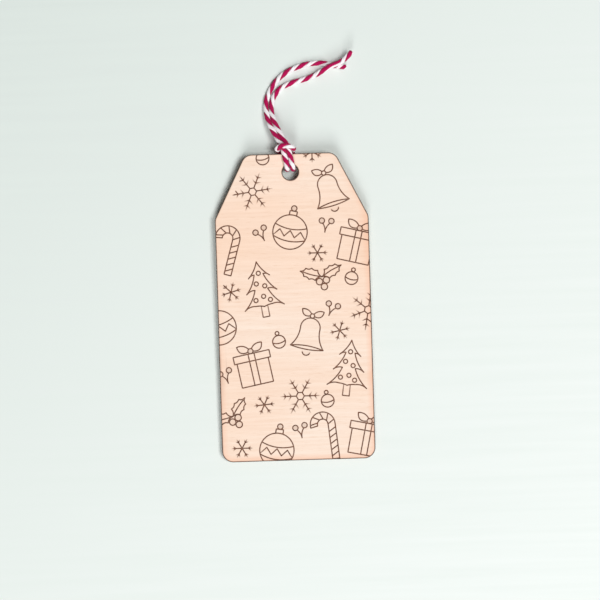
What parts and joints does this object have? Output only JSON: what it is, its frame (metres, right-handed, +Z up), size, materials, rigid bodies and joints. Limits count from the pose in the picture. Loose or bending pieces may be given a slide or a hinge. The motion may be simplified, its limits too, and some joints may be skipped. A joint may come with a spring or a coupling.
{
  "type": "gift tag",
  "caption": "Flat plywood gift tag with clipped top corners and a hole, carried by a length of two-colour cotton twine hitched through it, with two free tails to tie.",
  "frame": {"origin": "on the table, under the middle of the board's own box", "axes": "+Y along the board towards the twine, +X to the right as the engraved face is read, +Z up from the table through the board"},
  "size_m": [0.05, 0.1336, 0.0092],
  "materials": {
    "face_wood": "bare light veneer, laser-scored",
    "core_wood": "bare veneer, edges browned by the laser",
    "back_wood": "bare light veneer",
    "glue": "cured glue film, browned at the cut edge",
    "twine": "twisted cotton, red and white plies"
  },
  "bodies": {
    "board": {"face_veneer": "face_wood", "front_glue_line": "glue", "core_veneer": "core_wood", "back_glue_line": "glue", "back_veneer": "back_wood", "twine_hitch": "twine"},
    "twine_tails": {"twine_tail_left": "twine", "twine_tail_right": "twine"}
  },
  "joints": [
    {"name": "twine_flap", "type": "hinge", "parent": "board", "child": "twine_tails", "pos_m": [-0.0028, 0.05445, 0.00542], "axis": [1, 0, 0], "range_deg": [-80, 110]}
  ]
}
